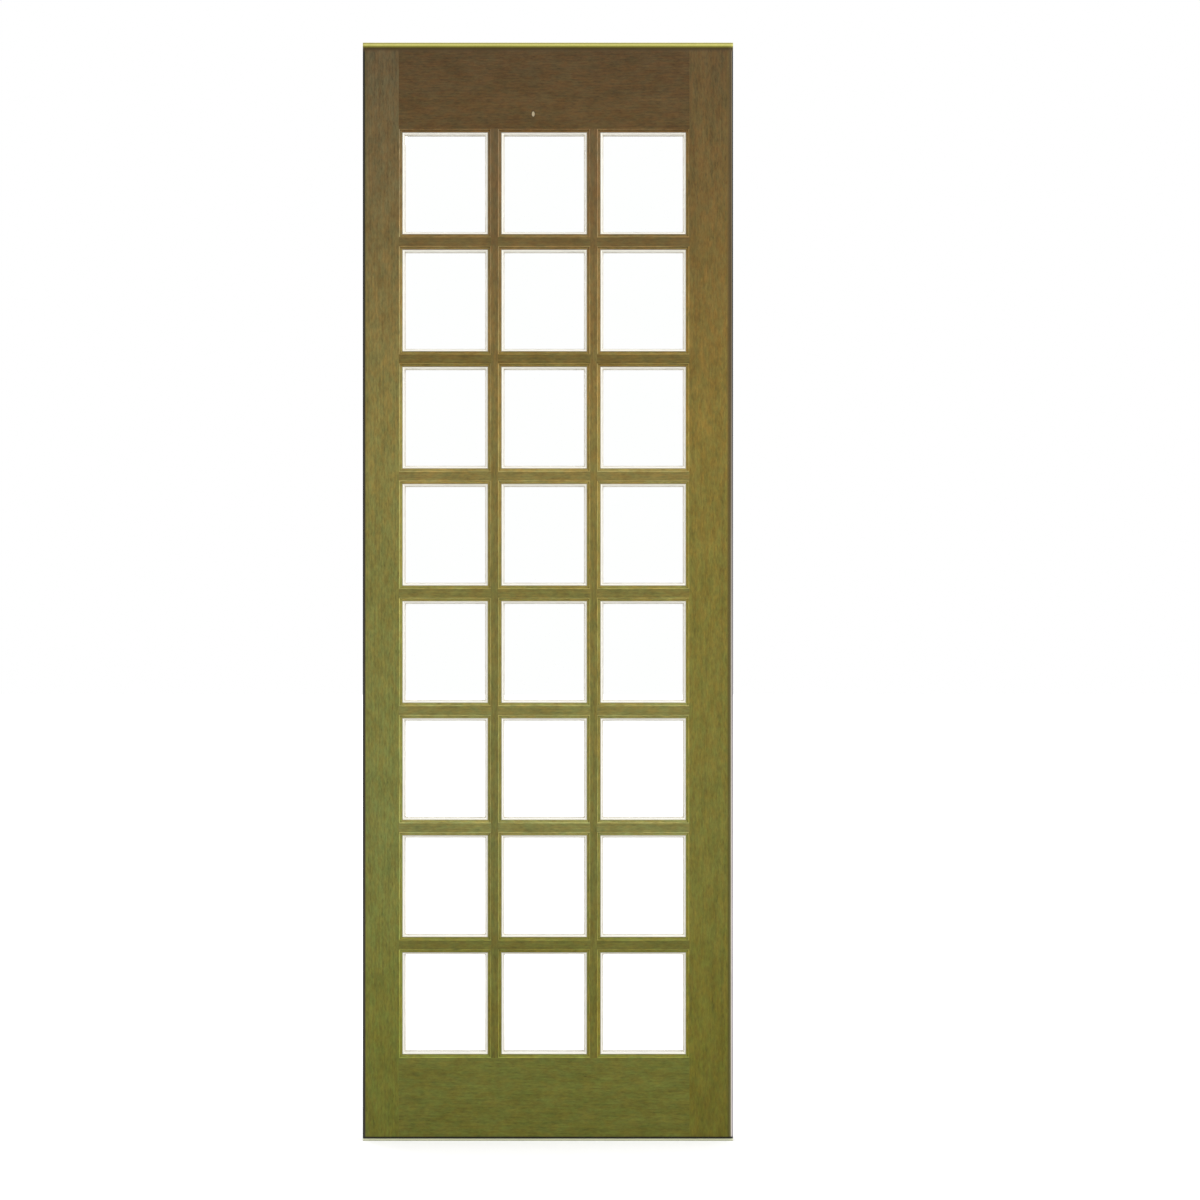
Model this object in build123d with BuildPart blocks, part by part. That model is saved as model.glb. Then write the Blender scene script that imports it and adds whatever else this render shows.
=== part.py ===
from build123d import *
import os

# Glazed door leaf in millimetres: X across, Y through from the moulded face to the beaded face, Z up
leaf_width = 708.0
leaf_height = 2100.0
leaf_thickness = 40.0
left_stile_width = 80.0
right_stile_width = 94.5
top_rail_height = 176.0
bottom_rail_height = 170.0

# The bars that divide the opening into lights
columns = 3
rows = 8
upright_bar_width = 34.5
crossbar_height = 38.0

# Moulding worked on every edge that faces the glass: a rounded arris, a quirk with a flat floor, an ovolo
moulding_width = 11.0
moulding_depth = 17.0
arris_radius = 2.5
quirk_depth = 1.5
quirk_width = 1.5

# Flat chamfers on the leaf's outer arrises: all of one depth at the front, and even at the back
chamfer_depth = 4.0
top_chamfer = 8.0
bottom_chamfer = 6.5
left_chamfer = 4.5
right_chamfer = 7.0
back_chamfer = 2.0

# Glass, its bed and the beads behind it
glass_thickness = 4.0
glass_clearance = 2.5
glass_arris = 0.4
bedding_thickness = 1.0
bead_recess = 2.0

# Brads that hold the beads
pin_diameter = 1.5
pin_clearance = 0.1
pin_bite = 4.5
pin_sunk = 0.4
pin_off_glass = 5.0

# Through tenons, haunches and wedges that join the rails to the stiles
tenon_thickness = 13.0
tenon_gap = 24.0
haunch_height = 32.0
haunch_depth = 12.0
wedge_butt = 4.0
wedge_tip = 1.0
wedge_setback = 8.0

# Stub tenons of the bars
stub_thickness = 10.0
stub_shoulder = 2.0
stub_end_gap = 0.3
rail_mortise_depth = 22.0
stile_mortise_depth = 12.0
bar_core = 2.0

# How far a cut runs past what it removes
overrun = 1.0

# Planes through the leaf's thickness
front = -leaf_thickness / 2
back = leaf_thickness / 2
rebate = front + moulding_depth
glass_front = rebate + bedding_thickness
glass_back = glass_front + glass_thickness
bead_back = back - bead_recess
pin_y = glass_back + pin_off_glass
pin_hole_radius = (pin_diameter + pin_clearance) / 2

# The moulding's ovolo takes what width the arris and the quirk leave
ovolo_radius = moulding_width - arris_radius - quirk_width
ovolo_start = front + arris_radius + quirk_depth

# Outer edges, sight edges beside the glass, and web planes, where the moulding springs from a member
left_edge = -leaf_width / 2
right_edge = leaf_width / 2
left_sight = left_edge + left_stile_width
right_sight = right_edge - right_stile_width
bottom_sight = bottom_rail_height
top_sight = leaf_height - top_rail_height
left_web = left_sight - moulding_width
right_web = right_sight + moulding_width
bottom_web = bottom_sight - moulding_width
top_web = top_sight + moulding_width
upright_web = upright_bar_width - 2 * moulding_width
crossbar_web = crossbar_height - 2 * moulding_width

# Lights, numbered from the top row and the left column
light_width = (right_sight - left_sight - (columns - 1) * upright_bar_width) / columns
light_height = (top_sight - bottom_sight - (rows - 1) * crossbar_height) / rows
light_x = [left_sight + light_width / 2 + c * (light_width + upright_bar_width) for c in range(columns)]
light_z = [top_sight - light_height / 2 - r * (light_height + crossbar_height) for r in range(rows)]
upright_x = [(a + b) / 2 for a, b in zip(light_x, light_x[1:])]
crossbar_z = [(a + b) / 2 for a, b in zip(light_z, light_z[1:])]
opening_width = light_width + 2 * moulding_width
opening_height = light_height + 2 * moulding_width
pin_x = [x + side * light_width / 4 for x in light_x for side in (-1, 1)]
pin_z = [z + side * light_height / 4 for z in light_z for side in (-1, 1)]

# Each rail's web and outer edge, and each stile's, with its chamfer
rails = {"top_rail": (top_web, leaf_height), "bottom_rail": (bottom_web, 0)}
stiles = {
    "left_stile": (left_web, left_edge, left_chamfer),
    "right_stile": (right_web, right_edge, right_chamfer),
}

os.makedirs("parts", exist_ok=True)


def save(part, name):
    part.label = name
    export_step(part, f"parts/{name}.step")


def across(x):
    """The plane at x whose first direction is up the leaf and whose second is through it, facing -X."""
    return Plane(origin=(x, 0, 0), x_dir=(0, 0, 1), z_dir=(-1, 0, 0))


def moulding_line(web, side):
    """Draws the moulding standing out from a web to one side, and the rebate behind it."""
    quirk = web + side * arris_radius
    ovolo = quirk + side * quirk_width
    sight = web + side * moulding_width
    ovolo_end = ovolo_start + ovolo_radius
    CenterArc((web, front + arris_radius), arris_radius, -90, 90 * side)
    Polyline((quirk, front + arris_radius), (quirk, ovolo_start), (ovolo, ovolo_start))
    CenterArc((ovolo, ovolo_end), ovolo_radius, -90, 90 * side)
    Polyline((sight, ovolo_end), (sight, rebate), (web, rebate), (web, back))


def outer_section(web, side, outer):
    """Draws the section of a stile or rail: body from outer edge to web, moulding on the inner side."""
    with BuildLine() as outline:
        moulding_line(web, side)
        Polyline((web, back), (outer, back), (outer, front), (web, front))
    make_face(outline.line)


def bar_section(centre, web_size):
    """Draws the section of a glazing bar: a web with the moulding on both sides."""
    low = centre - web_size / 2
    high = centre + web_size / 2
    with BuildLine() as outline:
        moulding_line(high, 1)
        moulding_line(low, -1)
        Line((low, back), (high, back))
        Line((low, front), (high, front))
    make_face(outline.line)


def mitre(corner, out, along):
    """Draws the waste beyond a moulding's mitred end: out leaves its web, along runs back from its end."""
    reach = moulding_width + overrun
    point = Vector(*corner)
    tip = point + Vector(*out) * reach
    Polygon(point, tip, tip + Vector(*along) * reach)


def notch(web, side, centre, gap, upright):
    """Draws the mitred notch where a bar's moulding lands on a web, which runs up the leaf if upright."""
    reach = moulding_width + overrun
    mouth = web + side * reach
    points = [
        (web, centre - gap / 2),
        (web, centre + gap / 2),
        (mouth, centre + gap / 2 + reach),
        (mouth, centre - gap / 2 - reach),
    ]
    Polygon(*(points if upright else [(b, a) for a, b in points]))


def arrises(edge, inward, front_width, mode=Mode.ADD):
    """Draws the waste of the front and back chamfers along an outer edge."""
    Polygon((edge, front), (edge + inward * front_width, front), (edge, front + chamfer_depth), mode=mode)
    Polygon((edge, back), (edge + inward * back_chamfer, back), (edge, back - back_chamfer), mode=mode)


def chamfer_top_and_bottom():
    """Cuts the chamfers along the leaf's top and bottom from the member being built."""
    with BuildSketch(across(leaf_width)) as waste:
        arrises(leaf_height, -1, top_chamfer)
        arrises(0, 1, bottom_chamfer)
    extrude(waste.sketch, amount=2 * leaf_width, mode=Mode.SUBTRACT)


def tenon_spans(web, outer):
    """The low and high edges of a rail's two tenons, counted outwards from its web."""
    way = 1 if outer > web else -1
    height = (abs(outer - web) - haunch_height - tenon_gap) / 2
    starts = [web, web + way * (height + tenon_gap)]
    return [sorted((start, start + way * height)) for start in starts]


def wedge_outlines(web, outer):
    """Draws the wedges of one stile, thick at its outer edge, above and below each tenon."""
    way = 1 if web > outer else -1
    inner = web - way * (haunch_depth + wedge_setback)
    for rail_web, rail_outer in rails.values():
        for low, high in tenon_spans(rail_web, rail_outer):
            for edge, side in ((low, -1), (high, 1)):
                Polygon(
                    (outer, edge),
                    (outer, edge + side * wedge_butt),
                    (inner, edge + side * wedge_tip),
                    (inner, edge),
                )


# Stiles: full-height members with the rails' mortises cut right through them
for name, (web, outer, front_chamfer) in stiles.items():
    way = 1 if web > outer else -1
    sight = web + way * (moulding_width + overrun)
    with BuildPart() as stile:
        with BuildSketch():
            outer_section(web, way, outer)
            arrises(outer, way, front_chamfer, mode=Mode.SUBTRACT)
        extrude(amount=leaf_height)
        chamfer_top_and_bottom()
        # The moulding stops in a mitre at each rail and is notched for each crossbar
        with BuildSketch(Plane.XZ):
            for rail_web, rail_outer in rails.values():
                up = 1 if rail_outer > rail_web else -1
                end = rail_outer + up * overrun
                mitre_tip = rail_web - up * (moulding_width + overrun)
                Polygon((web, end), (web, rail_web), (sight, mitre_tip), (sight, end))
            for z in crossbar_z:
                notch(web, way, z, crossbar_web, upright=True)
        extrude(amount=leaf_thickness, both=True, mode=Mode.SUBTRACT)
        # Through mortises flared for the wedges, with a groove for each haunch
        with BuildSketch(Plane.XZ):
            wedge_outlines(web, outer)
            for rail_web, rail_outer in rails.values():
                for low, high in tenon_spans(rail_web, rail_outer):
                    with Locations(((outer + web) / 2, (low + high) / 2)):
                        Rectangle(abs(web - outer), high - low)
                with Locations((web - way * haunch_depth / 2, (rail_web + rail_outer) / 2)):
                    Rectangle(haunch_depth, abs(rail_outer - rail_web))
        extrude(amount=tenon_thickness / 2, both=True, mode=Mode.SUBTRACT)
        with Locations(*[(web - way * stile_mortise_depth / 2, 0, z) for z in crossbar_z]):
            Box(stile_mortise_depth, stub_thickness, crossbar_web - 2 * stub_shoulder, mode=Mode.SUBTRACT)
        with Locations(*[(web - way * pin_bite / 2, pin_y, z) for z in pin_z]):
            Cylinder(pin_hole_radius, pin_bite, rotation=(0, 90, 0), mode=Mode.SUBTRACT)
    save(stile.part, name)

# Rails: short members between the stiles, with two through tenons and a haunch at each end
for name, (web, outer) in rails.items():
    way = 1 if web > outer else -1
    with BuildPart() as rail:
        with BuildSketch(across(right_web)):
            outer_section(web, way, outer)
        extrude(amount=right_web - left_web)
        chamfer_top_and_bottom()
        with BuildSketch(Plane.XZ):
            mitre((left_web, web), (0, way), (1, 0))
            mitre((right_web, web), (0, way), (-1, 0))
            for x in upright_x:
                notch(web, way, x, upright_web, upright=False)
        extrude(amount=leaf_thickness, both=True, mode=Mode.SUBTRACT)
        with BuildSketch(Plane.XZ):
            for low, high in tenon_spans(web, outer):
                with Locations(((left_edge + right_edge) / 2, (low + high) / 2)):
                    Rectangle(leaf_width, high - low)
            with Locations(((left_web + right_web) / 2, (web + outer) / 2)):
                Rectangle(right_web - left_web + 2 * haunch_depth, abs(outer - web))
        extrude(amount=tenon_thickness / 2, both=True)
        with Locations(*[(x, 0, web - way * rail_mortise_depth / 2) for x in upright_x]):
            Box(upright_web - 2 * stub_shoulder, stub_thickness, rail_mortise_depth, mode=Mode.SUBTRACT)
        with Locations(*[(x, pin_y, web - way * pin_bite / 2) for x in pin_x]):
            Cylinder(pin_hole_radius, pin_bite, mode=Mode.SUBTRACT)
    save(rail.part, name)

# Wedges driven in beside the tenons from the outer edges of the stiles
with BuildPart() as tenon_wedges:
    with BuildSketch(Plane.XZ):
        wedge_outlines(left_web, left_edge)
        wedge_outlines(right_web, right_edge)
    extrude(amount=tenon_thickness / 2, both=True)
save(tenon_wedges.part, "tenon_wedges")

# Upright bars: run through from rail to rail, notched and mortised on both sides for the crossbars
core_mortise_depth = (upright_web - bar_core) / 2
for number, x in enumerate(upright_x, 1):
    with BuildPart() as upright:
        with BuildSketch(Plane.XY.offset(bottom_web)):
            bar_section(x, upright_web)
        extrude(amount=top_web - bottom_web)
        with BuildSketch(Plane.XZ):
            for side in (-1, 1):
                web = x + side * upright_web / 2
                mitre((web, top_web), (side, 0), (0, -1))
                mitre((web, bottom_web), (side, 0), (0, 1))
                for z in crossbar_z:
                    notch(web, side, z, crossbar_web, upright=True)
        extrude(amount=leaf_thickness, both=True, mode=Mode.SUBTRACT)
        stub_length = rail_mortise_depth - stub_end_gap
        with Locations((x, 0, top_web + stub_length / 2), (x, 0, bottom_web - stub_length / 2)):
            Box(upright_web - 2 * stub_shoulder, stub_thickness, stub_length)
        core_offset = (upright_web - core_mortise_depth) / 2
        with Locations(*[(x + side * core_offset, 0, z) for z in crossbar_z for side in (-1, 1)]):
            Box(core_mortise_depth, stub_thickness, crossbar_web - 2 * stub_shoulder, mode=Mode.SUBTRACT)
        pin_offset = (upright_web - pin_bite) / 2
        with Locations(*[(x + side * pin_offset, pin_y, z) for z in pin_z for side in (-1, 1)]):
            Cylinder(pin_hole_radius, pin_bite, rotation=(0, 90, 0), mode=Mode.SUBTRACT)
    save(upright.part, f"upright_bar_{number}")

# Crossbars: short bars between the uprights, with a deeper stub tenon where they meet a stile
for row, z in enumerate(crossbar_z):
    for column, x in enumerate(light_x):
        low_x = x - opening_width / 2
        high_x = x + opening_width / 2
        low_stub = (stile_mortise_depth if column == 0 else core_mortise_depth) - stub_end_gap
        high_stub = (stile_mortise_depth if column == columns - 1 else core_mortise_depth) - stub_end_gap
        with BuildPart() as crossbar:
            with BuildSketch(across(high_x)):
                bar_section(z, crossbar_web)
            extrude(amount=opening_width)
            with BuildSketch(Plane.XZ):
                for side in (-1, 1):
                    mitre((low_x, z + side * crossbar_web / 2), (0, side), (1, 0))
                    mitre((high_x, z + side * crossbar_web / 2), (0, side), (-1, 0))
            extrude(amount=leaf_thickness, both=True, mode=Mode.SUBTRACT)
            with Locations((low_x - low_stub / 2, 0, z)):
                Box(low_stub, stub_thickness, crossbar_web - 2 * stub_shoulder)
            with Locations((high_x + high_stub / 2, 0, z)):
                Box(high_stub, stub_thickness, crossbar_web - 2 * stub_shoulder)
            pin_offset = (crossbar_web - pin_bite) / 2
            spots = [(x + a * light_width / 4, pin_y, z + b * pin_offset) for a in (-1, 1) for b in (-1, 1)]
            with Locations(*spots):
                Cylinder(pin_hole_radius, pin_bite, mode=Mode.SUBTRACT)
        save(crossbar.part, f"crossbar_r{row + 1}_c{column + 1}")

# Panes: flat glass with a fine ground arris, held clear of the webs all round
pane_width = opening_width - 2 * glass_clearance
pane_height = opening_height - 2 * glass_clearance
for row, z in enumerate(light_z):
    for column, x in enumerate(light_x):
        with BuildPart() as pane:
            with Locations((x, (glass_front + glass_back) / 2, z)):
                Box(pane_width, glass_thickness, pane_height)
            chamfer(pane.edges(), length=glass_arris)
        save(pane.part, f"pane_r{row + 1}_c{column + 1}")

# Glazing compound: a bed in front of each pane, filled up round its edges
with BuildPart() as bedding:
    for z in light_z:
        for x in light_x:
            with Locations((x, (rebate + glass_back) / 2, z)):
                Box(opening_width, glass_back - rebate, opening_height)
                Box(light_width, glass_back - rebate, light_height, mode=Mode.SUBTRACT)
            with Locations((x, (glass_front + glass_back) / 2, z)):
                Box(pane_width, glass_thickness, pane_height, mode=Mode.SUBTRACT)
save(bedding.part, "glazing_compound")


def bead_section(web):
    """Draws a bead's section: flat on the glass and the web, with the ovolo on its free corner."""
    sight = web + moulding_width
    with BuildLine() as outline:
        CenterArc((sight - ovolo_radius, bead_back - ovolo_radius), ovolo_radius, 0, 90)
        Polyline(
            (sight - ovolo_radius, bead_back),
            (web, bead_back),
            (web, glass_back),
            (sight, glass_back),
            (sight, bead_back - ovolo_radius),
        )
    make_face(outline.line)


# Beads of one light, about its centre: the left and the bottom one, turned round for the other two
with BuildPart() as side_bead:
    web = -opening_width / 2
    with BuildSketch(Plane.XY.offset(-opening_height / 2)):
        bead_section(web)
    extrude(amount=opening_height)
    with BuildSketch(Plane.XZ):
        mitre((web, opening_height / 2), (1, 0), (0, -1))
        mitre((web, -opening_height / 2), (1, 0), (0, 1))
    extrude(amount=leaf_thickness, both=True, mode=Mode.SUBTRACT)
    with Locations(*[(web + moulding_width / 2, pin_y, side * light_height / 4) for side in (-1, 1)]):
        Cylinder(pin_hole_radius, moulding_width, rotation=(0, 90, 0), mode=Mode.SUBTRACT)

with BuildPart() as bottom_bead:
    web = -opening_height / 2
    with BuildSketch(across(opening_width / 2)):
        bead_section(web)
    extrude(amount=opening_width)
    with BuildSketch(Plane.XZ):
        mitre((opening_width / 2, web), (0, 1), (-1, 0))
        mitre((-opening_width / 2, web), (0, 1), (1, 0))
    extrude(amount=leaf_thickness, both=True, mode=Mode.SUBTRACT)
    with Locations(*[(side * light_width / 4, pin_y, web + moulding_width / 2) for side in (-1, 1)]):
        Cylinder(pin_hole_radius, moulding_width, mode=Mode.SUBTRACT)

# Brads, one for each hole in the beads, driven through them into the web
pin_length = moulding_width - pin_sunk + pin_bite
pin_reach = (moulding_width - pin_sunk - pin_bite) / 2
for column, x in enumerate(light_x):
    beads = []
    brads = []
    for z in light_z:
        for turn in (0, 180):
            for bead in (side_bead.part, bottom_bead.part):
                beads.append(Location((x, 0, z), (0, turn, 0)) * bead)
        for a in (-1, 1):
            for b in (-1, 1):
                side_spot = (x + a * (opening_width / 2 - pin_reach), pin_y, z + b * light_height / 4)
                level_spot = (x + a * light_width / 4, pin_y, z + b * (opening_height / 2 - pin_reach))
                brads += [Location(side_spot, (0, 90, 0)), Location(level_spot)]
    save(Compound(children=beads), f"glazing_beads_c{column + 1}")
    with BuildPart() as bead_pins:
        with Locations(*brads):
            Cylinder(pin_diameter / 2, pin_length)
    save(bead_pins.part, f"bead_pins_c{column + 1}")
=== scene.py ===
import math

import bmesh
import bpy
from mathutils import Matrix, Vector


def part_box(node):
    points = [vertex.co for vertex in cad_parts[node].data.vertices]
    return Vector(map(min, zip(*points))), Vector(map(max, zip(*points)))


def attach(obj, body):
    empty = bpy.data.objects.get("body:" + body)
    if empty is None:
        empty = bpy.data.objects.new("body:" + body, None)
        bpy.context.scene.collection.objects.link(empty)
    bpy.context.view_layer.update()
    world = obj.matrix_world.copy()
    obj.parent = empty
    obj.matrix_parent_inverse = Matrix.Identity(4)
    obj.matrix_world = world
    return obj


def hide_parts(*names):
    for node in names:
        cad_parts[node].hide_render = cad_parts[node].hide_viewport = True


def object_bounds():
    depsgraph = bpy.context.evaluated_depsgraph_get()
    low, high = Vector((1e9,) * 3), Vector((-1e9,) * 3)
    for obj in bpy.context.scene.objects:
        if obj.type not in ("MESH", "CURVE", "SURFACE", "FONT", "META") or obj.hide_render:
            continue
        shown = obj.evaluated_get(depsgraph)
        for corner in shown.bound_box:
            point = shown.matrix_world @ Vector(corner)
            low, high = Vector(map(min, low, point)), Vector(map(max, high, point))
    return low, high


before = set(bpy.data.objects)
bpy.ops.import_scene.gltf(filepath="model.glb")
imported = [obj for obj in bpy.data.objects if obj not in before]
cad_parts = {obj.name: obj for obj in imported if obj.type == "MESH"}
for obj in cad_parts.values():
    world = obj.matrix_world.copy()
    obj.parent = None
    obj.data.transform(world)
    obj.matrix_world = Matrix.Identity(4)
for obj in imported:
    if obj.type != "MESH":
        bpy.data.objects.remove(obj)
cad_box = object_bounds()
scene = bpy.context.scene

# Stiles
# The two full-height members, planed from stained and varnished boards with the grain running up them.
# The moulding is worked on their inner edges, and the rails' tenons come right through them, wedged.
MM = 0.001
leaf_left, leaf_front, leaf_foot = cad_box[0]
leaf_right, _, leaf_head = cad_box[1]
left_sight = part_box("left_stile")[1].x
right_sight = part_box("right_stile")[0].x
bottom_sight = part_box("bottom_rail")[1].z
top_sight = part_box("top_rail")[0].z

# The moulding's section, from the flat to the glass: a rounded arris, a step down to a quirk, an ovolo
moulding_width = 11 * MM
moulding_depth = 17 * MM
arris = 2.5 * MM
quirk_depth = 4 * MM
ovolo = 7 * MM

# The outer chamfers are all as deep, and a little is allowed wherever painted light and shade end at a line
chamfer_depth = 4 * MM
allowance = 0.2 * MM

# How the arrises are eased: what is welded, which edges count as corners, and how far they are taken off
weld = 0.01 * MM
flat_angle = math.radians(1)
corner_angle = math.radians(24)
fold_angle = math.radians(50)
shortest_eased = 5 * MM
eased_by = 0.35 * MM
sliver = 0.002 * MM


def looks(red, green, blue):
    """A colour as the eye sees it on the door, each part up to 255, as the linear colour a shader takes."""
    shares = [part / 255 for part in (red, green, blue)]
    linear = [s / 12.92 if s <= 0.04045 else ((s + 0.055) / 1.055) ** 2.4 for s in shares]
    return (*linear, 1.0)


class Amount:
    """A number, colour or place that changes over a surface. Sums on it add the nodes that work it out."""

    def __init__(self, finish, socket):
        self.finish = finish
        self.socket = socket

    def worked(self, operation, first, second=0.0):
        """The amount that a Math node works out."""
        return self.finish.node("ShaderNodeMath", {"operation": operation}, {0: first, 1: second})

    def __add__(self, other):
        return self.worked("ADD", self, other)

    def __sub__(self, other):
        return self.worked("SUBTRACT", self, other)

    def __rsub__(self, other):
        return self.worked("SUBTRACT", other, self)

    def __mul__(self, other):
        return self.worked("MULTIPLY", self, other)

    def __truediv__(self, other):
        return self.worked("DIVIDE", self, other)

    def __pow__(self, other):
        return self.worked("POWER", self, other)

    def __mod__(self, other):
        return self.worked("FLOORED_MODULO", self, other)

    def __gt__(self, other):
        return self.worked("GREATER_THAN", self, other)

    def __lt__(self, other):
        return self.worked("LESS_THAN", self, other)

    def __abs__(self):
        return self.worked("ABSOLUTE", self)

    __radd__ = __add__
    __rmul__ = __mul__


class Finish:
    """A node tree that a surface's looks are worked out in."""

    def __init__(self, tree):
        self.tree = tree

    def node(self, kind, settings, inputs, output=0):
        """Adds a node: its settings first, then the value or link of each socket by number or name."""
        made = self.tree.nodes.new(kind)
        for setting, value in settings.items():
            if setting == "stops":
                for place, _ in value[1:-1]:
                    made.color_ramp.elements.new(place)
                for stop, (place, colour) in zip(made.color_ramp.elements, value):
                    stop.position = place
                    stop.color = colour
            else:
                setattr(made, setting, value)
        for key, value in inputs.items():
            self.feed(made.inputs[key], value)
        return Amount(self, made.outputs[output])

    def feed(self, socket, value):
        """Links an amount to a socket, or sets a plain value on it."""
        if isinstance(value, Amount):
            self.tree.links.new(value.socket, socket)
        else:
            socket.default_value = value

    def place(self):
        """The place on the leaf, in metres."""
        return self.node("ShaderNodeTexCoord", {}, {}, "Object")

    def parts(self, place):
        """The three coordinates of a place."""
        first = self.node("ShaderNodeSeparateXYZ", {}, {0: place})
        return [Amount(self, socket) for socket in first.socket.node.outputs]

    def mix(self, share, one, other, way="MIX"):
        """A colour or place between two others."""
        settings = {"data_type": "RGBA", "blend_type": way}
        return self.node("ShaderNodeMix", settings, {0: share, 6: one, 7: other}, 2)

    def tinted(self, colour, tint):
        """A colour seen through a tint."""
        return self.mix(1.0, colour, tint, "MULTIPLY")

    def rise(self, value, low, high):
        """Goes smoothly from 0 at low to 1 at high."""
        settings = {"interpolation_type": "SMOOTHSTEP"}
        return self.node("ShaderNodeMapRange", settings, {0: value, 1: low, 2: high})

    def ramp(self, value, stops):
        """A colour read off a row of stops, from 0 to 1."""
        return self.node("ShaderNodeValToRGB", {"stops": stops}, {0: value})

    def noise(self, place, scale, detail=2.0, roughness=0.5):
        """Soft random blotches, as many to the metre as the scale says."""
        inputs = {"Vector": place, "Scale": scale, "Detail": detail, "Roughness": roughness}
        return self.node("ShaderNodeTexNoise", {}, inputs)

    def drawn_out(self, place, squeeze, scale, detail=2.0, roughness=0.5):
        """Noise on a place whose coordinates are squeezed, which draws the blotches out along the grain."""
        squeezed = self.node("ShaderNodeVectorMath", {"operation": "MULTIPLY"}, {0: place, 1: squeeze})
        return self.noise(squeezed, scale, detail, roughness)

    def shaded(self, colour, by):
        """A colour made lighter or darker by a number."""
        return self.node("ShaderNodeVectorMath", {"operation": "SCALE"}, {0: colour, "Scale": by})


def material(name, constants):
    """A new material, its finish, and its surface with the sockets that are the same all over set."""
    made = bpy.data.materials.new(name)
    made.use_nodes = True
    surface = made.node_tree.nodes["Principled BSDF"]
    for socket, value in constants.items():
        surface.inputs[socket].default_value = value
    return made, Finish(made.node_tree), surface.inputs


# The stain, by height up the leaf: brown at the head, olive half way and greener at the foot
stain_by_height = [
    (0.0, looks(104, 101, 28)),
    (0.12, looks(110, 107, 34)),
    (0.28, looks(116, 114, 48)),
    (0.5, looks(121, 113, 47)),
    (0.65, looks(127, 112, 50)),
    (0.75, looks(121, 102, 48)),
    (0.87, looks(107, 88, 46)),
    (1.0, looks(93, 75, 43)),
]

# Patches of the wood take the stain cooler or warmer
cooler = (0.94, 1.04, 1.1, 1)
warmer = (1.08, 0.97, 0.88, 1)

# The rounded arris is lightened where it is worn, as wear and a painted highlight, and the quirk as painted
# light against its shade. The ovolo carries a near-white painted reflection, greyer at the sight edge as
# painted shade
arris_wear_and_highlight = (2.2, 2.25, 2.9, 1)
quirk_painted_light = (1.75, 1.75, 1.95, 1)
ovolo_painted_reflection = looks(253, 250, 239)
sight_edge_painted_shade = looks(240, 235, 220)

# Painted highlights and shadows run along the outer chamfers, given in mm from the leaf's edge: a yellow
# highlight at the head, pale light over black shadow at the foot, nearly black shadow at the left, black
# shadow beside pale at the right.
head_light_and_shade = [
    (0, looks(206, 199, 122)),
    (2.1, looks(144, 138, 68)),
    (3.7, looks(214, 209, 124)),
    (5.6, looks(198, 194, 104)),
    (8.2, looks(118, 111, 38)),
    (11, looks(62, 50, 10)),
    (20, looks(86, 66, 44)),
]
foot_light_and_shade = [
    (0, looks(150, 150, 125)),
    (1.5, looks(222, 223, 192)),
    (4.2, looks(236, 237, 206)),
    (5.2, looks(8, 8, 0)),
    (9.0, looks(8, 8, 0)),
    (11, looks(96, 97, 38)),
]
left_shade = [
    (0, looks(10, 8, 2)),
    (3, looks(12, 9, 2)),
    (4.6, looks(66, 60, 26)),
    (7, looks(116, 108, 56)),
]
right_light_and_shade = [
    (0, looks(14, 10, 3)),
    (1.9, looks(18, 13, 4)),
    (2.9, looks(130, 115, 86)),
    (4.3, looks(66, 53, 26)),
    (7.5, looks(88, 71, 36)),
    (13, looks(112, 93, 50)),
]

# Towards the foot the right edge's painted light and shade turn pale, from one share of the leaf's height
# to another
right_light_and_shade_at_foot = [
    (0, looks(156, 150, 155)),
    (1.7, looks(168, 161, 166)),
    (3.0, looks(236, 228, 220)),
    (5.0, looks(104, 101, 62)),
    (9, looks(78, 73, 18)),
    (13, looks(100, 95, 34)),
]
pale_from = 0.8
pale_to = 0.15

# What shows along the grain, each by how it is drawn out, how fine it is, its octaves and their roughness
ring_bends = ((6, 6, 0.9), 1.0, 2.0)
ring_wander = ((40, 40, 3), 1.0, 3.0)
fibres = ((1, 1, 0.022), 620.0, 3.0, 0.6)
streaks = ((1, 1, 0.05), 110.0, 2.0, 0.55)
flecks = ((1, 1, 0.3), 330.0, 2.0, 0.6)
pores = ((1, 1, 0.045), 1500.0, 1.0)
mottling = ((1, 1, 0.45), 42.0, 5.0, 0.66)
warm_patches = ((1, 1, 0.4), 90.0, 4.0, 0.7)
wear_and_light_blotches = ((1, 1, 0.16), 60.0, 3.0, 0.6)

# How far the rings bend and wander, and the share of a year's growth where late wood starts and peaks
bend_across = 40 * MM
bend_through = 14 * MM
wander_by = 6 * MM
late_start = 0.25
late_peak = 0.84


def painted_edge_light_and_shade(finish, gap, lines):
    """The painted light and shade of an edge's lines at a distance from that edge."""
    reach = lines[-1][0]
    stops = [(place / reach, colour) for place, colour in lines]
    return finish.ramp(gap / (reach * MM), stops)


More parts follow.
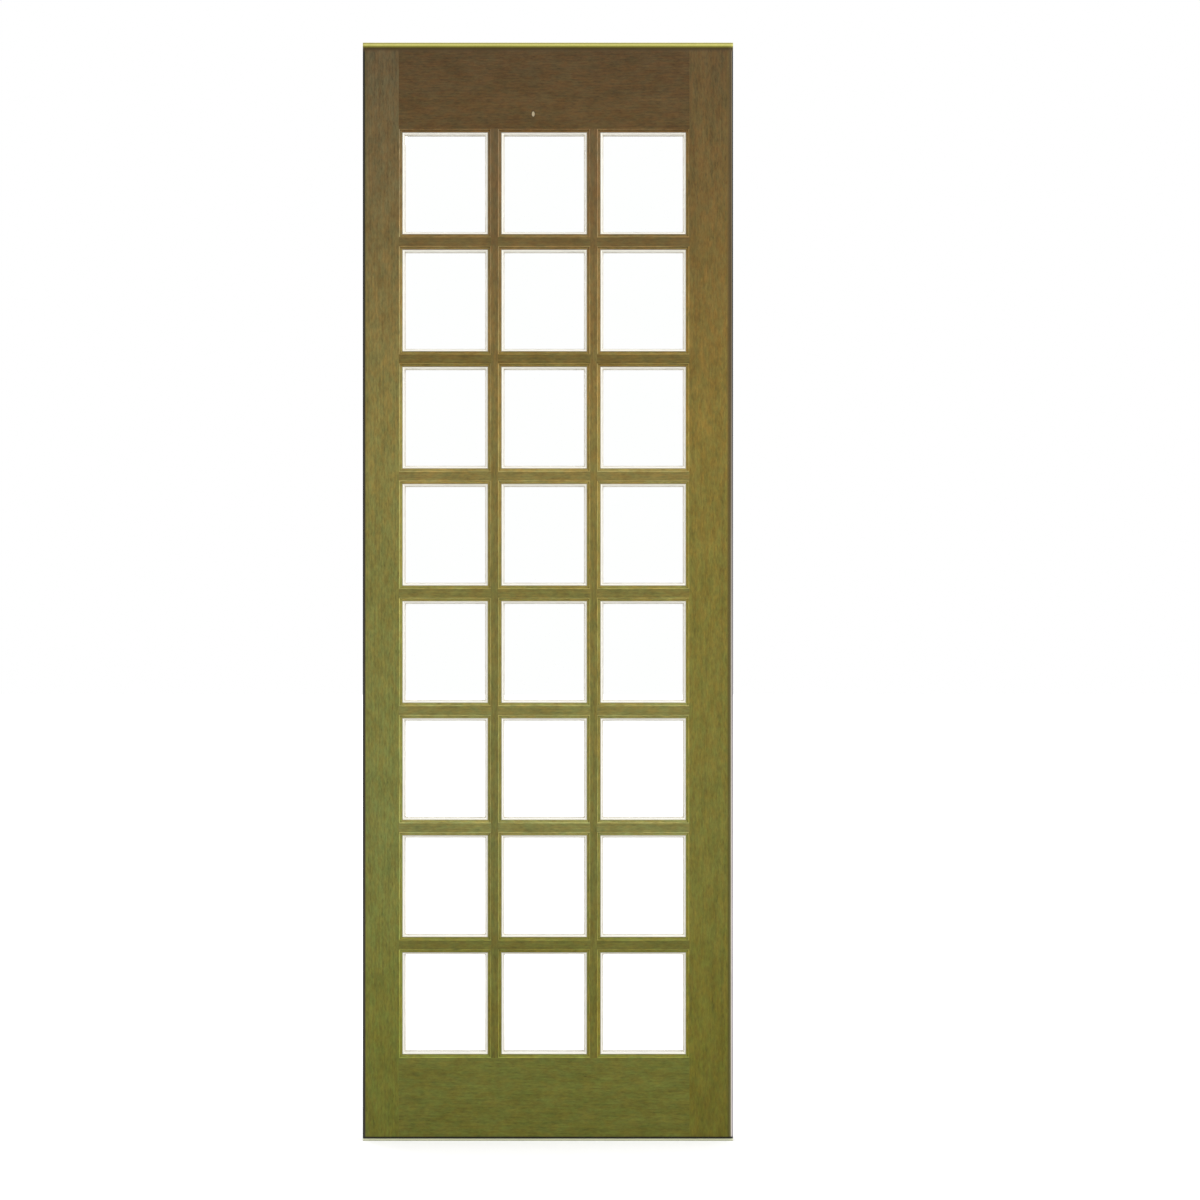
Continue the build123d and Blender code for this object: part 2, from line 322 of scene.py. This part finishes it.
def moulded(finish, wood_colour, x, y, z, wear_and_light):
    """The stain with the moulding's wear, painted highlight, light and reflection over it, which follow
    each other down from the front.
    """
    depth = y - leaf_front
    beyond = moulding_width + allowance
    inside = (x > left_sight - beyond) * (x < right_sight + beyond)
    inside = inside * (z > bottom_sight - beyond) * (z < top_sight + beyond)
    on_arris = finish.rise(depth, 0.01 * MM, 0.1 * MM) * (1 - finish.rise(depth, arris - 0.7 * MM, arris))
    below_arris = finish.rise(depth, arris - 0.3 * MM, arris + 0.3 * MM)
    in_quirk = below_arris * (1 - finish.rise(depth, quirk_depth, quirk_depth + 0.4 * MM))
    below_quirk = finish.rise(depth, quirk_depth + 0.3 * MM, quirk_depth + 1.3 * MM)
    on_ovolo = below_quirk * (depth < moulding_depth)
    at_sight = finish.rise(depth, quirk_depth + 0.75 * ovolo, quirk_depth + ovolo)
    # Painted reflection: the ovolo is near-white, and a little greyer at the sight edge as painted shade
    cream = finish.shaded(finish.mix(at_sight, ovolo_painted_reflection, sight_edge_painted_shade), 0.9 + 0.2 * wear_and_light)
    # Painted highlight along with wear: the rounded arris is lightened where the wear noise is high
    worn_and_lit_arris = inside * on_arris * finish.rise(wear_and_light, 0.2, 0.55)
    wood_colour = finish.mix(worn_and_lit_arris, wood_colour, finish.tinted(wood_colour, arris_wear_and_highlight))
    # Painted light: the quirk is lightened against the shade that falls in it
    wood_colour = finish.mix(inside * in_quirk, wood_colour, finish.tinted(wood_colour, quirk_painted_light))
    return finish.mix(inside * on_ovolo, wood_colour, cream)


def with_edge_light_and_shade(finish, wood_colour, x, y, z, wear_and_light):
    """The stain with the outer chamfers' painted highlights and shadows over it, varied here and there and
    faded out on the flat.
    """
    in_front = y - leaf_front < chamfer_depth + allowance
    for gap, lines in (
        (x - leaf_left, left_shade),
        (leaf_right - x, right_light_and_shade),
        (leaf_head - z, head_light_and_shade),
        (z - leaf_foot, foot_light_and_shade),
    ):
        # Painted highlights and shadows along this chamfer, by distance from the leaf's edge
        paint = painted_edge_light_and_shade(finish, gap, lines)
        if lines is right_light_and_shade:
            at_foot = painted_edge_light_and_shade(finish, gap, right_light_and_shade_at_foot)
            paint = finish.mix(finish.rise(z / leaf_head, pale_from, pale_to), paint, at_foot)
        paint = finish.shaded(paint, 0.82 + 0.36 * wear_and_light)
        reach = lines[-1][0] * MM
        wood_colour = finish.mix(in_front * (1 - finish.rise(gap, 0.6 * reach, reach)), wood_colour, paint)
    return wood_colour


def late_wood(finish, board, heart, spacing):
    """Growth rings about a heart: pale early wood that darkens slowly to a line of late wood."""
    across, through, along = finish.parts(board)
    heart_across, heart_through, lean = heart
    bend = finish.drawn_out(board, *ring_bends) - 0.5
    wander = finish.drawn_out(board, *ring_wander) - 0.5
    aside = across - heart_across + bend_across * bend + along * lean
    deep = through - heart_through + bend_through * bend
    year = ((aside * aside + deep * deep) ** 0.5 + wander_by * wander) / spacing % 1.0
    return finish.rise(year, late_start, late_peak) * (1 - finish.rise(year, late_peak, 1.0))


def in_board(finish, way, cut):
    """The place across, through and along a board whose grain runs along X or Z, cut so far up its log."""
    turn = -math.pi / 2 if way == "X" else 0
    inputs = {"Vector": finish.place(), "Rotation": (0, turn, 0), "Location": (0, 0, cut)}
    return finish.node("ShaderNodeMapping", {}, inputs)


def wood(name, grain, tint, heart, cut, spacing=5.2 * MM):
    """Stained wood. Its grain is along "X" or "Z", or along X where a function of place is above 0."""
    sheen = {"IOR": 1.48, "Specular IOR Level": 0.2, "Coat Roughness": 0.28, "Coat IOR": 1.45}
    made, finish, surface = material(name, sheen)
    x, y, z = finish.parts(finish.place())
    if callable(grain):
        board = finish.mix(grain(x, z) > 0, in_board(finish, "Z", cut), in_board(finish, "X", cut))
    else:
        board = in_board(finish, grain, cut)

    late = late_wood(finish, board, heart, spacing)
    fibre = finish.drawn_out(board, *fibres)
    streak = finish.drawn_out(board, *streaks)
    fleck = finish.drawn_out(board, *flecks)
    pore = finish.rise(finish.drawn_out(board, *pores), 0.6, 0.7)
    mottle = finish.drawn_out(board, *mottling)
    warmth = finish.rise(finish.drawn_out(board, *warm_patches), 0.34, 0.66)
    wear_and_light = finish.drawn_out(board, *wear_and_light_blotches)

    # The stain is darker on late wood and in the pores, and varies with the fibres, streaks and flecks
    wood_colour = finish.tinted(finish.ramp(z / leaf_head, stain_by_height), (*tint, 1))
    wood_colour = finish.tinted(wood_colour, finish.mix(warmth, cooler, warmer))
    tone = 1.02 - 0.08 * late + 0.42 * (fibre - 0.5) + 0.26 * (streak - 0.5) - 0.3 * pore
    tone = tone + 0.6 * (mottle - 0.5) + 0.9 * (fleck - 0.5)
    wood_colour = finish.shaded(wood_colour, tone)

    # End grain drinks more stain, and the beads are darker on the faces that look up and down
    facing = finish.node("ShaderNodeTexCoord", {}, {}, "Normal")
    facing = finish.parts(facing)[0 if grain == "X" else 2]
    wood_colour = finish.shaded(wood_colour, 1 - 0.34 * finish.rise(abs(facing), 0.75, 0.95))

    # From here the colour carries painted light and shade on the moulding and the chamfers as well as the
    # stain
    wood_colour = moulded(finish, wood_colour, x, y, z, wear_and_light)
    finish.feed(surface["Base Color"], with_edge_light_and_shade(finish, wood_colour, x, y, z, wear_and_light))
    finish.feed(surface["Roughness"], 0.46 + 0.16 * (fibre - 0.5) + 0.2 * (mottle - 0.5) + 0.2 * pore)
    finish.feed(surface["Coat Weight"], 0.16 * (1 - pore) * finish.rise(mottle, 0.3, 0.7))
    relief = 0.5 * fibre - 0.9 * pore - 0.35 * late + 0.3 * streak
    bump = {"Strength": 0.35, "Distance": 0.12 * MM, "Height": relief}
    finish.feed(surface["Normal"], finish.node("ShaderNodeBump", {}, bump))
    return made


def merged(name):
    """A copy of a member's shape, its triangles welded to whole faces."""
    shape = bmesh.new()
    shape.from_mesh(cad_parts[name].data)
    bmesh.ops.remove_doubles(shape, verts=shape.verts, dist=weld)
    bmesh.ops.dissolve_limit(shape, angle_limit=flat_angle, verts=shape.verts, edges=shape.edges)
    return shape


def fixed(shape, title):
    """Makes a piece of a shape, fixed in the leaf."""
    mesh = bpy.data.meshes.new(title)
    shape.to_mesh(mesh)
    shape.free()
    piece = bpy.data.objects.new(title, mesh)
    scene.collection.objects.link(piece)
    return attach(piece, "root")


def eased(name):
    """Stands a copy of a wooden member in its place, with its arrises eased."""
    shape = merged(name)
    arrises = [
        edge
        for edge in shape.edges
        if edge.is_convex and edge.calc_face_angle(0) > corner_angle and edge.calc_length() > shortest_eased
    ]
    bmesh.ops.bevel(
        shape,
        geom=arrises,
        offset=eased_by,
        offset_type="OFFSET",
        segments=2,
        profile=0.5,
        affect="EDGES",
        material=-1,
        clamp_overlap=True,
    )
    bmesh.ops.dissolve_degenerate(shape, dist=sliver, edges=shape.edges)
    for face in shape.faces:
        face.smooth = True
    for edge in shape.edges:
        edge.smooth = edge.calc_face_angle(0) < fold_angle
    piece = fixed(shape, "eased_" + name)
    piece.modifiers.new("even_shading", "WEIGHTED_NORMAL").keep_sharp = True
    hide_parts(name)
    return piece


# Each board has its tint, its heart's place beside it with the grain's lean, and its place up the log
for name, tint, heart, cut in (
    ("left_stile", (1.0, 1.07, 1.27), (-0.43, 0.09, 0.012), 0.3),
    ("right_stile", (0.96, 0.91, 0.77), (0.20, 0.13, -0.02), 3.7),
):
    stile = eased(name)
    stile.data.materials.append(wood("stained_" + name, "Z", tint, heart, cut))

# Rails
# The head and foot rails, tenoned into the stiles, with the grain running across the leaf.
# The head rail is cut from a darker board, and a hole in its face is stopped with pale filler.
for name, tint, heart, cut in (
    ("top_rail", (0.72, 0.63, 0.52), (1.86, 0.16, 0.02), 7.1),
    ("bottom_rail", (0.95, 1.01, 1.36), (-0.08, 0.11, -0.03), 5.3),
):
    rail = eased(name)
    rail.data.materials.append(wood("stained_" + name, "X", tint, heart, cut))

filler_aside = -28 * MM
filler_height = 1963 * MM
filler_half_width = 3 * MM
filler_half_height = 5.5 * MM
filler_pale = looks(176, 161, 130)
filler_rim = looks(62, 50, 28)


def opened(made):
    """A finished material's node tree, its colour's socket, the colour with its painted light and shade
    that feeds it, and the place.
    """
    finish = Finish(made.node_tree)
    paint = made.node_tree.nodes["Principled BSDF"].inputs["Base Color"]
    wood_colour = Amount(finish, paint.links[0].from_socket)
    return finish, paint, wood_colour, finish.parts(finish.place())


finish, paint, wood_colour, (x, y, z) = opened(bpy.data.materials["stained_top_rail"])
aside = (x - filler_aside) / filler_half_width
above = (z - filler_height) / filler_half_height
reach = (aside * aside + above * above) ** 0.5
on_face = y < leaf_front + arris
wood_colour = finish.mix(on_face * (1 - finish.rise(reach, 1.0, 1.7)) * 0.6, wood_colour, filler_rim)
wood_colour = finish.mix(on_face * (1 - finish.rise(reach, 0.7, 1.05)), wood_colour, filler_pale)
finish.feed(paint, wood_colour)

# Upright glazing bars
# Two bars of the same stained wood, moulded on both sides, with the grain running up them. They run
# through from rail to rail and are stub-tenoned into both.
for number, tint in ((1, (0.88, 0.85, 1.0)), (2, (0.94, 0.89, 1.0))):
    name = f"upright_bar_{number}"
    heart = (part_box(name)[0].x - 60 * MM * number, 50 * MM, 0.01)
    upright = eased(name)
    upright.data.materials.append(wood("stained_" + name, "Z", tint, heart, 9.0 + 3.1 * number))

# Crossbars
# Twenty-one short bars between the uprights and stiles, mitred into the moulding and stub-tenoned.
# Each row is cut from one long bar, so it has one tone.
row_tones = (0.8, 0.72, 1.03, 0.93, 1.08, 1.14, 0.84)
for row, tone in enumerate(row_tones, 1):
    for column in (1, 2, 3):
        name = f"crossbar_r{row}_c{column}"
        heart = (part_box(name)[0].z - 30 * MM - 20 * MM * column, 60 * MM, 0.02 * (column - 2))
        crossbar = eased(name)
        cut = 20.0 + 1.7 * row + 5.3 * column
        tint = (tone, 0.98 * tone, 1.25 * tone * tone)
        crossbar.data.materials.append(wood("stained_" + name, "X", tint, heart, cut))

# Glass
# Twenty-four panes of clear float glass with a ground arris, bedded in compound and held by beads.
# Each is drawn in by a hair all round, so that what it lies on is seen and lit through it.
hair = 0.03 * MM
clear = (1.0, 1.0, 1.0, 1)
faint_green = (0.985, 1.0, 0.99, 1)
glass, finish, surface = material("clear_glass", {"Transmission Weight": 1.0, "IOR": 1.5})
film = finish.noise(finish.place(), 9.0, 3.0, 0.6)
finish.feed(surface["Base Color"], finish.mix(film, clear, faint_green))
finish.feed(surface["Roughness"], 0.012 * finish.rise(film, 0.5, 0.8))
panes = [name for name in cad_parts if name.startswith("pane_")]
for name in panes:
    low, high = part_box(name)
    centre = (low + high) / 2
    drawn_in = Vector([1 - 2 * hair / side for side in high - low])
    shape = merged(name)
    bmesh.ops.scale(shape, vec=drawn_in, space=Matrix.Translation(-centre), verts=shape.verts)
    pane = fixed(shape, "set_" + name)
    pane.data.materials.append(glass)
    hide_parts(name)

# Glazing compound
# The cream bed between the glass and the rebate, with the thin fillet that oozes out along the sight
# edge in front of the glass and is struck off with a knife.
fillet_leg = 1.3 * MM
glass_clearance = 2.5 * MM
glass_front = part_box(panes[0])[0].y
clean_putty = looks(238, 233, 221)
dirty_putty = looks(216, 209, 193)
putty, finish, surface = material("glazing_putty", {"IOR": 1.45})
place = finish.place()
lumps = finish.noise(place, 240.0, 4.0, 0.6)
dirt = finish.rise(finish.noise(place, 24.0, 4.0, 0.65), 0.3, 0.75)
cream = finish.mix(dirt, clean_putty, dirty_putty)
finish.feed(surface["Base Color"], finish.shaded(cream, 0.9 + 0.2 * lumps))
finish.feed(surface["Roughness"], 0.55 + 0.3 * lumps)
bump = {"Strength": 0.3, "Distance": 0.2 * MM, "Height": lumps}
finish.feed(surface["Normal"], finish.node("ShaderNodeBump", {}, bump))
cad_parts["glazing_compound"].material_slots[0].material = putty

# A sheet in each light, its rim sloped back to the glass, is cut down to the rim and closed on the glass
hidden = 2 * (moulding_width - glass_clearance)
shape = bmesh.new()
for name in panes:
    low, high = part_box(name)
    centre = (low + high) / 2
    light_size = (high.x - low.x - hidden, high.z - low.z - hidden, 1)
    light = bmesh.ops.create_grid(shape, x_segments=1, y_segments=1, size=0.5)["verts"]
    bmesh.ops.scale(shape, vec=light_size, verts=light)
    bmesh.ops.rotate(shape, matrix=Matrix.Rotation(math.pi / 2, 3, "X"), verts=light)
    bmesh.ops.translate(shape, vec=(centre.x, glass_front - fillet_leg, centre.z), verts=light)
lights = list(shape.faces)
bmesh.ops.inset_individual(
    shape, faces=lights, thickness=fillet_leg, depth=-fillet_leg, use_even_offset=True
)
bmesh.ops.delete(shape, geom=lights, context="FACES_ONLY")
on_glass = bmesh.ops.extrude_face_region(shape, geom=list(shape.faces))["geom"]
on_glass = [part for part in on_glass if isinstance(part, bmesh.types.BMVert)]
bmesh.ops.scale(shape, vec=(1, 0, 1), space=Matrix.Translation((0, -glass_front, 0)), verts=on_glass)
bmesh.ops.remove_doubles(shape, verts=shape.verts, dist=weld)
bmesh.ops.recalc_face_normals(shape, faces=shape.faces)
fillets = fixed(shape, "compound_fillets")
fillets.data.materials.append(putty)

# Tenon wedges
# Sixteen pale wedges, two to each tenon, that spread it in its mortice. They are of finer-grained wood
# and show as end grain on the leaf's edges.
wedge_tint = (2.1, 1.95, 2.3)
wedge_heart = (1.0, 0.1, 0.02)
wedge_wood = wood("wedge_wood", "X", wedge_tint, wedge_heart, 30.0, spacing=3 * MM)
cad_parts["tenon_wedges"].material_slots[0].material = wedge_wood

# Glazing beads
# Four mitred beads behind each pane, pinned to the bars, with the grain along each bead.
# A dark line shows where two of them meet.
light_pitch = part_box("pane_r7_c1")[0].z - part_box("pane_r8_c1")[0].z
bead_tint = (0.95, 0.93, 1.0)
bead_heart = (-0.4, 0.1, 0.02)
mitre_line = 0.22 * MM
mitre_dark = looks(34, 28, 8)


def lead_in(lowest_pane):
    """Tells how much nearer a place is to the head or foot of its pane than to the pane's sides."""
    low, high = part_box(lowest_pane)
    middle = (low + high) / 2
    slimmer = (high.z - low.z - high.x + low.x) / 2

    def lead(x, z):
        above = (z - middle.z + light_pitch / 2) % light_pitch - light_pitch / 2
        return abs(above) - abs(x - middle.x) - slimmer

    return lead


for column in (1, 2, 3):
    lead = lead_in(f"pane_r8_c{column}")
    bead_wood = wood(f"bead_wood_c{column}", lead, bead_tint, bead_heart, 40.0 + column)
    finish, paint, wood_colour, (x, y, z) = opened(bead_wood)
    mitre = 1 - finish.rise(abs(lead(x, z)), 0.5 * mitre_line, mitre_line)
    finish.feed(paint, finish.mix(0.8 * mitre, wood_colour, mitre_dark))
    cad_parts[f"glazing_beads_c{column}"].material_slots[0].material = bead_wood

# Bead pins
# Bright steel brads without heads, two to each bead, driven through it into the wood and punched just
# below the surface. The bright wire is tarnished in places.
bright_wire = looks(190, 186, 178)
tarnished_wire = looks(120, 106, 92)
steel, finish, surface = material("brad_steel", {"Metallic": 1.0})
place = finish.place()
scratch = finish.noise(place, 900.0, 3.0, 0.6)
tarnish = finish.noise(place, 70.0, 2.0, 0.5)
finish.feed(surface["Base Color"], finish.mix(tarnish, bright_wire, tarnished_wire))
finish.feed(surface["Roughness"], 0.25 + 0.3 * scratch)
for column in (1, 2, 3):
    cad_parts[f"bead_pins_c{column}"].material_slots[0].material = steel

# The studio
# A plain pale floor and even soft light. The camera looks straight at the leaf's face, and its frame
# places the leaf by the pixels where its middle and its head come.
shot_width = 1200
pixel_width = 1.911 * MM
lens = 100.0
film_width = 36.0
leaf_middle_pixel = 547.9
head_pixel = 42.3
to_front = shot_width * pixel_width * lens / film_width
air_light = (0.62, 0.62, 0.62, 1)
white = (1, 1, 1, 1)
unlit = (0, 0, 0, 1)
floor_grey = (0.75, 0.75, 0.75, 1)
floor_shine_near = (0.45, 0.45, 0.45, 1)
floor_shine_far = (0.95, 0.95, 0.95, 1)
near_leaf = 0.8
far_from_leaf = 3.0
floor_half_side = 30


def shown(finish):
    """1 for what the camera sees, directly, in a gloss or through glass, and 0 for what lights others."""
    rays = finish.node("ShaderNodeLightPath", {}, {}, "Is Camera Ray")
    kinds = {socket.name: Amount(finish, socket) for socket in rays.socket.node.outputs}
    return kinds["Is Camera Ray"] + kinds["Is Glossy Ray"] + kinds["Is Transmission Ray"] > 0.5


sky = bpy.data.worlds.new("studio_air")
sky.use_nodes = True
scene.world = sky
air = Finish(sky.node_tree)
air.feed(sky.node_tree.nodes["Background"].inputs["Color"], air.mix(shown(air), air_light, white))

floor_shape = bmesh.new()
bmesh.ops.create_grid(floor_shape, x_segments=1, y_segments=1, size=floor_half_side)
floor_mesh = bpy.data.meshes.new("floor")
floor_shape.to_mesh(floor_mesh)
floor_shape.free()
floor = bpy.data.objects.new("floor", floor_mesh)
scene.collection.objects.link(floor)
matt = {"Base Color": floor_grey, "Roughness": 0.9, "Emission Strength": 1.0}
pale_floor, ground, floor_surface = material("pale_floor", matt)
x, y, z = ground.parts(ground.place())
far = ground.rise((x * x + y * y) ** 0.5, near_leaf, far_from_leaf)
shine = ground.mix(far, floor_shine_near, floor_shine_far)
ground.feed(floor_surface["Emission Color"], ground.mix(shown(ground), unlit, shine))
floor.data.materials.append(pale_floor)

leaf_middle = Vector((0, 0, leaf_head / 2))
for name, spot, size, power in (
    ("key", (3.0, -3.2, 3.4), 2.0, 98),
    ("fill", (-3.2, -4.4, 1.6), 3.0, 40),
    ("behind", (-1.8, 4.0, 3.2), 3.0, 90),
):
    lamp = bpy.data.lights.new(name, "AREA")
    lamp.size = size
    lamp.energy = power
    light = bpy.data.objects.new(name, lamp)
    light.location = spot
    light.rotation_euler = (leaf_middle - Vector(spot)).to_track_quat("-Z", "Y").to_euler()
    scene.collection.objects.link(light)

camera = bpy.data.objects.new("camera", bpy.data.cameras.new("camera"))
camera.data.lens = lens
camera.data.sensor_width = film_width
camera.location = (
    (shot_width / 2 - leaf_middle_pixel) * pixel_width,
    leaf_front - to_front,
    leaf_head - (shot_width / 2 - head_pixel) * pixel_width,
)
camera.rotation_euler = (math.pi / 2, 0, 0)
scene.collection.objects.link(camera)
scene.camera = camera
scene.view_settings.view_transform = "Standard"
